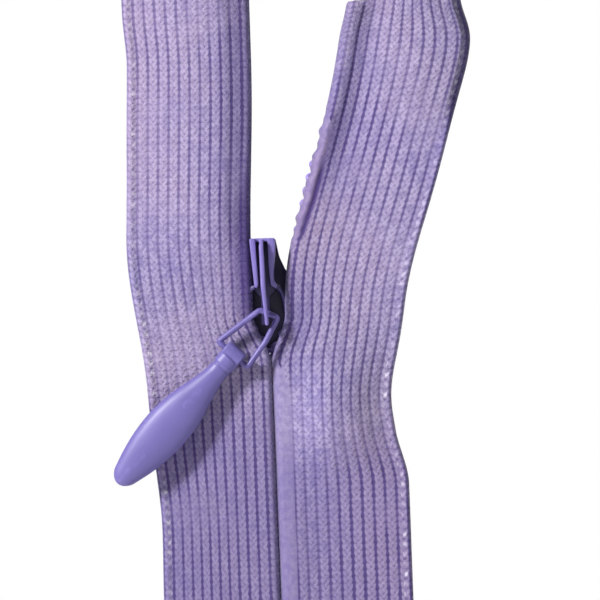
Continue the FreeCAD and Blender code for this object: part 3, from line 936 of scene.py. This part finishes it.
def rounded_loop(corners, radius, spacing=0.12):
    """A closed path with round corners, and points about evenly spaced."""
    corners = [np.array(corner, float) for corner in corners]

    def round_off(number):
        """Where the bend at a corner starts, the corner, and where its bend ends."""
        here, after = corners[number], corners[(number + 1) % len(corners)]
        into, out = here - corners[number - 1], after - here
        into_length, out_length = np.linalg.norm(into), np.linalg.norm(out)
        bend = min(radius, 0.45 * into_length, 0.45 * out_length)
        return here - into / into_length * bend, here, here + out / out_length * bend

    path = []
    for number in range(len(corners)):
        start, corner, end = round_off(number)
        for share in np.linspace(0, 1, 7):
            a = start * (1 - share) + corner * share
            b = corner * (1 - share) + end * share
            path.append(a * (1 - share) + b * share)
        following = round_off((number + 1) % len(corners))[0]
        gaps = max(2, int(np.linalg.norm(following - end) / spacing))
        for share in np.linspace(0, 1, gaps, endpoint=False)[1:]:
            path.append(end * (1 - share) + following * share)
    return np.array(path)


def make_ring(name):
    """The wire link: a trapezoid with bowed arms and round corners."""
    wide_bar = [(RING_WIDE, 0, RING_LENGTH), (-RING_WIDE, 0, RING_LENGTH)]
    loop = rounded_loop([(-0.86, 0, -0.42), (0.92, 0, 0.2), *wide_bar, (-1.52, 0, 2.1)], 0.3)
    points, faces = tube(pull_frame(loop, "ring_flip"), RING_WIRE / 2, 20, closed=True)
    ring = mesh_piece(name, points, faces)
    finish_piece(ring, WIRE_PAINT, "ring", "painted_wire", "pull_ring")


HEAD_RADIUS = 0.85
HEAD_HALF = 1.05           # half the barrel's length
HEAD_ROUND = 0.22
BORE_RADIUS = 0.36
TAB_LEVEL = -0.12          # of the pull's own middle, from the bar's
TIP = 16.6
NOSE = 1.1                 # length of the rounding at the tip
SQUARENESS = 2.05          # 2 would make the pull's section an ellipse


def tab_outline(z):
    """Half width and half depth of the pull at a distance from the ring's bar."""
    stations = np.array([0.0, 1.1, 2.4, 4.4, 6.9, 9.3, 11.6, 13.8, 15.6, TIP])
    widths = np.array([1.08, 1.05, 1.04, 1.38, 1.98, 2.22, 2.1, 1.7, 1.2, 0.92])
    depths = np.array([0.84, 0.8, 0.78, 0.86, 1.0, 1.06, 1.02, 0.9, 0.72, 0.6])
    width, depth = smooth_through(z, stations, widths), smooth_through(z, stations, depths)
    nose = np.clip(1 - np.clip((z - (TIP - NOSE)) / NOSE, 0, 1) ** 2.6, 0, 1) ** 0.5
    groove = 0.1 * bump_up(z, 1.62, 0.13) + 0.05 * step(z - 1.62, 0.1) * (1 - step(z - 2.3, 1.5))
    return (width - groove) * nose, (depth - groove) * nose


def smooth_through(x, places, values):
    """Cubic interpolation through places, with level ends."""
    slopes = np.gradient(values, places)
    slopes[0] = slopes[-1] = 0
    k = np.clip(np.searchsorted(places, x) - 1, 0, len(places) - 2)
    gap = places[k + 1] - places[k]
    share = (x - places[k]) / gap
    a = (1 + 2 * share) * (1 - share) ** 2
    b = share * (1 - share) ** 2
    c = share * share * (3 - 2 * share)
    d = share * share * (share - 1)
    return a * values[k] + b * gap * slopes[k] + c * values[k + 1] + d * gap * slopes[k + 1]


def pull_body():
    """The teardrop, lofted from the barrel to the tip."""
    sides = 64
    nose = TIP - NOSE + NOSE * np.sin(np.linspace(0.05, 1, 18) * math.pi / 2) * 0.999
    reaches = np.concatenate([np.linspace(0.5, 2.6, 30), np.linspace(2.75, TIP - NOSE, 50), nose])
    turns = np.linspace(0, 2 * math.pi, sides, endpoint=False)
    across, up = (np.sign(x) * np.abs(x) ** (2 / SQUARENESS) for x in (np.cos(turns), np.sin(turns)))
    rings = []
    for reach in reaches:
        width, depth = (float(value) for value in tab_outline(reach))
        rings.append(np.stack([width * across, TAB_LEVEL + depth * up, np.full(sides, reach)], -1))
    faces = grid_faces(len(reaches), sides, wrap=True) + end_caps(len(reaches), sides)
    return np.concatenate(rings), faces


def pull_barrel():
    """The pull's head: a barrel with rounded ends, bored for the link's wide bar."""
    profile = []
    for end in (1, -1):
        for turn in np.linspace(0, math.pi / 2, 6):
            angle = turn if end > 0 else math.pi / 2 + turn
            x = end * HEAD_HALF + HEAD_ROUND * (math.cos(angle) - end)
            profile.append((x, HEAD_RADIUS + HEAD_ROUND * (math.sin(angle) - 1)))
    mouth = [(0, 0.1), (0.03, 0.03), (0.1, 0)]
    profile += [(inwards - HEAD_HALF, BORE_RADIUS + out) for inwards, out in mouth]
    profile += [(HEAD_HALF - inwards, BORE_RADIUS + out) for inwards, out in mouth[::-1]]
    x, radius = np.array(profile).T
    turns = np.linspace(0, 2 * math.pi, 48, endpoint=False)
    points = [np.stack([x, radius * math.cos(turn), radius * math.sin(turn)], -1) for turn in turns]
    faces = grid_faces(len(turns), len(x), wrap=True) + closing_faces(len(turns), len(x))
    return np.concatenate(points), faces


def make_pull(name):
    points, faces = join_parts([pull_body(), pull_barrel()])
    pull = mesh_piece(name, pull_frame(points, "pull_swing"), faces)
    fix = bmesh.new()
    fix.from_mesh(pull.data)
    bmesh.ops.recalc_face_normals(fix, faces=fix.faces)
    fix.to_mesh(pull.data)
    fix.free()
    finish_piece(pull, ENAMEL, "pull", "pull_enamel", "pull_tab")


# ---- slider ----

MIDDLE = -0.4              # the slider's own middle, across
PLATE_FRONT, PLATE_BACK = 3.25, 3.95
LIP_FRONT, LIP_BACK = 0.56, 1.06
WALL_BACK = 3.4            # a little inside the plate
PRONG_FRONT, PRONG_BACK = -1.25, 0.75     # the back is a little inside the neck
RAIL_FRONT, RAIL_BACK = -2.3, -1.78


def slab(outline, front, back, rounding):
    """A plate with rounded edges: an outline of (across, height above the slider's top)."""
    mesh = bmesh.new()
    corners = [mesh.verts.new((x, front, SLIDER_TOP + z)) for x, z in outline]
    face = mesh.faces.new(corners)
    pushed = bmesh.ops.extrude_face_region(mesh, geom=[face])
    moved = [item for item in pushed["geom"] if isinstance(item, bmesh.types.BMVert)]
    bmesh.ops.translate(mesh, verts=moved, vec=(0, back - front, 0))
    bmesh.ops.recalc_face_normals(mesh, faces=mesh.faces)
    bmesh.ops.bevel(mesh, geom=mesh.edges[:], offset=rounding, segments=3, profile=0.5, affect="EDGES")
    mesh.verts.index_update()
    points = np.array([vertex.co for vertex in mesh.verts])
    faces = [tuple(vertex.index for vertex in item.verts) for item in mesh.faces]
    mesh.free()
    return points, faces


def both_hands(outline):
    """The right half of an outline, top to bottom, completed with the left half."""
    whole = outline + [(-x, z) for x, z in reversed(outline)]
    return [(x + MIDDLE, z) for x, z in whole]


def shoulder_ridge(hand):
    """A ridge that flows from a prong's foot out to the shoulder."""
    turn = np.linspace(0, math.pi / 2, 14)
    x = MIDDLE + hand * (1.0 + 0.95 * np.sin(turn))
    z = SLIDER_TOP - 4.7 - 2.5 * (1 - np.cos(turn))
    y = 0.35 + 0.7 * np.sin(turn) ** 2
    return tube(np.stack([x, y, z], -1), np.linspace(0.24, 0.2, 14))


def make_slider(name):
    """The casting: back plate, side walls and lips, post, neck, two prongs and the bridge."""
    plate = both_hands([(1.17, 0), (1.5, -1.8), (2.1, -3.2), (4.75, -3.25), (4.85, -3.5), (4.3, -10.7)])
    parts = [slab(plate, PLATE_FRONT, PLATE_BACK, 0.2)]
    for hand in (-1, 1):
        wall = [(4.4, -3.2), (4.85, -3.2), (4.3, -10.7), (3.85, -10.7)]
        lip = [(2.9, -3.2), (4.85, -3.2), (4.3, -10.7), (2.9, -10.7)]
        for outline, back in ((wall, WALL_BACK), (lip, LIP_BACK)):
            parts.append(slab([(hand * x + MIDDLE, z) for x, z in outline], LIP_FRONT, back, 0.1))
        parts.append(shoulder_ridge(hand))
    post = both_hands([(0.45, 0), (0.45, -4.5), (0.12, -5.6)])
    neck = both_hands([(1.1, -0.1), (0.95, -5.1), (0.42, -5.6), (0.42, -8.35)])
    left_prong = [(-1.72, -0.03), (-1.14, 0.0), (-0.97, -4.4), (-1.12, -4.85), (-1.38, -4.7)]
    # the right prong is waisted, and has a toe at its foot
    right_prong = [(0.02, 0.0), (0.66, -0.02), (0.78, -0.3), (0.74, -1.5), (0.5, -3.2)]
    right_prong += [(0.52, -4.1), (0.84, -4.55), (0.66, -4.85), (0.2, -4.6), (0.1, -3.2)]
    crown = [(-1.62, 0.0), (0.68, 0.0), (0.66, -0.34), (-1.6, -0.34)]
    # the bridge: a rail that stands clear of the neck on two short legs
    rail = [(-0.8, -0.62), (-0.36, -0.62), (-0.3, -4.7), (-0.11, -8.2)]
    rail += [(-0.17, -8.4), (-0.45, -8.4), (-0.76, -4.7)]
    upper_leg = [(-0.78, -0.1), (-0.38, -0.1), (-0.36, -1.35), (-0.76, -1.35)]
    lower_leg = [(-0.52, -7.86), (-0.13, -7.86), (-0.15, -8.35), (-0.48, -8.35)]
    for outline, front, back, rounding in (
        (post, 0.7, WALL_BACK, 0.05),
        (neck, 0.6, 1.1, 0.08),
        (left_prong, PRONG_FRONT, PRONG_BACK, 0.13),
        (right_prong, -1.2, PRONG_BACK, 0.12),
        (crown, -0.8, PRONG_BACK, 0.08),
        (rail, RAIL_FRONT, RAIL_BACK, 0.15),
        (upper_leg, -1.95, PRONG_BACK, 0.1),
        (lower_leg, -1.95, PRONG_BACK, 0.08),
    ):
        parts.append(slab(outline, front, back, rounding))
    slider = mesh_piece(name, *join_parts(parts))
    slider.data.set_sharp_from_angle(angle=math.radians(40))
    finish_piece(slider, CASTING, "slider", "painted_casting", "slider_body")


# ---- the whole object ----

for name, side in SIDES.items():
    make_tape(name + "_cloth", side)
    make_coil(name + "_coil_wire", name + "_coil", side)
    make_filler_cord(name + "_filler_cord_strands", name + "_filler_cord", side)
    make_stitching(name + "_stitching_thread", name + "_stitching", side)
    make_stop(name + "_top_stop_block", name + "_top_stop", side)
make_stop("bottom_stop_block", "bottom_stop")
make_ring("link_wire")
make_pull("teardrop_pull")
make_slider("slider_casting")


# ---- floor, light and camera ----


FLOOR_RADIUS = 850.0
FLOOR_GAP = 0.6            # how far the tapes' lower ends are above the floor


def make_floor():
    ring = 64
    level = TAPE_LOW - FLOOR_GAP
    points, faces = [(0, 0, level)], []
    for k in range(ring):
        turn = 2 * math.pi * k / ring
        points.append((FLOOR_RADIUS * math.cos(turn), FLOOR_RADIUS * math.sin(turn), level))
        faces.append((0, 1 + k, 1 + (k + 1) % ring))
    floor = mesh_piece("floor", points, faces, smooth=False)
    material, shader, tree = new_material("pale_floor", Roughness=0.7)
    pale = colour_ramp(tree, object_noise(tree, 6), (0.3, (0.84, 0.84, 0.85)), (0.7, (0.88, 0.88, 0.88)))
    tree.join(pale, shader.inputs["Base Color"])
    floor.data.materials.append(material)


FOCUS = Vector((2.94, 0.0, SLIDER_TOP - 6.08)) * MM      # what the camera and the lights point at


def add_light(name, offset, size, power, colour=(1, 1, 1), aim=(0, 0, 0)):
    """A round lamp at an offset from the focus, in metres, aimed at the focus or near it."""
    light = bpy.data.lights.new(name, "AREA")
    light.shape = "DISK"
    light.size = size
    light.energy = power
    light.color = colour
    lamp = bpy.data.objects.new(name, light)
    bpy.context.scene.collection.objects.link(lamp)
    lamp.location = FOCUS + Vector(offset)
    lamp.rotation_mode = "QUATERNION"
    lamp.rotation_quaternion = (Vector(aim) - Vector(offset)).to_track_quat("-Z", "Y")


def make_world(horizon, elsewhere):
    """A white band all round the studio's horizon, and dim bluish light from everywhere else."""
    world = bpy.data.worlds.new("studio")
    world.use_nodes = True
    tree = Tree(world.node_tree)
    direction = tree.parts(tree.node("ShaderNodeTexCoord").outputs["Generated"])
    height = tree.do("ABSOLUTE", direction[2])
    background = world.node_tree.nodes["Background"]
    tree.join(tree.remap(height, 0.09, 0.15, horizon, elsewhere), background.inputs["Strength"])
    tint = mix(tree, tree.remap(height, 0.09, 0.15), (1.0, 1.0, 1.0), (0.8, 0.83, 1.0))
    tree.join(tint, background.inputs["Color"])
    bpy.context.scene.world = world


make_floor()
make_world(horizon=1.0, elsewhere=0.04)
add_light("key", (-0.24, -0.22, 0.2), 0.075, 2.35, (1.0, 0.98, 0.97), aim=(0, 0, 0.01))
add_light("fill", (0.5, -0.5, 0.1), 0.5, 0.05, (0.86, 0.88, 1.0))
add_light("back", (0.1, 0.55, 0.35), 0.4, 2.0)
add_light("overhead", (0, 0.1, 2.0), 1.5, 10.0)
bpy.context.scene.view_settings.view_transform = "Standard"

VIEW_WIDTH = 57.7          # what the picture is wide, at the tape
DISTANCE = 0.4             # in metres
ROLL = math.radians(2.2)
SENSOR = 36.0
lens = bpy.data.cameras.new("camera")
lens.sensor_width = SENSOR
lens.lens = SENSOR * DISTANCE / (VIEW_WIDTH * MM)
lens.clip_start, lens.clip_end = 0.01, 10
camera = bpy.data.objects.new("camera", lens)
bpy.context.scene.collection.objects.link(camera)
right = Vector((math.cos(ROLL), 0, -math.sin(ROLL)))
up = Vector((math.sin(ROLL), 0, math.cos(ROLL)))
turn = Matrix((right, up, right.cross(up))).transposed().to_4x4()
camera.matrix_world = Matrix.Translation(FOCUS + Vector((0, -DISTANCE, 0))) @ turn
bpy.context.scene.camera = camera
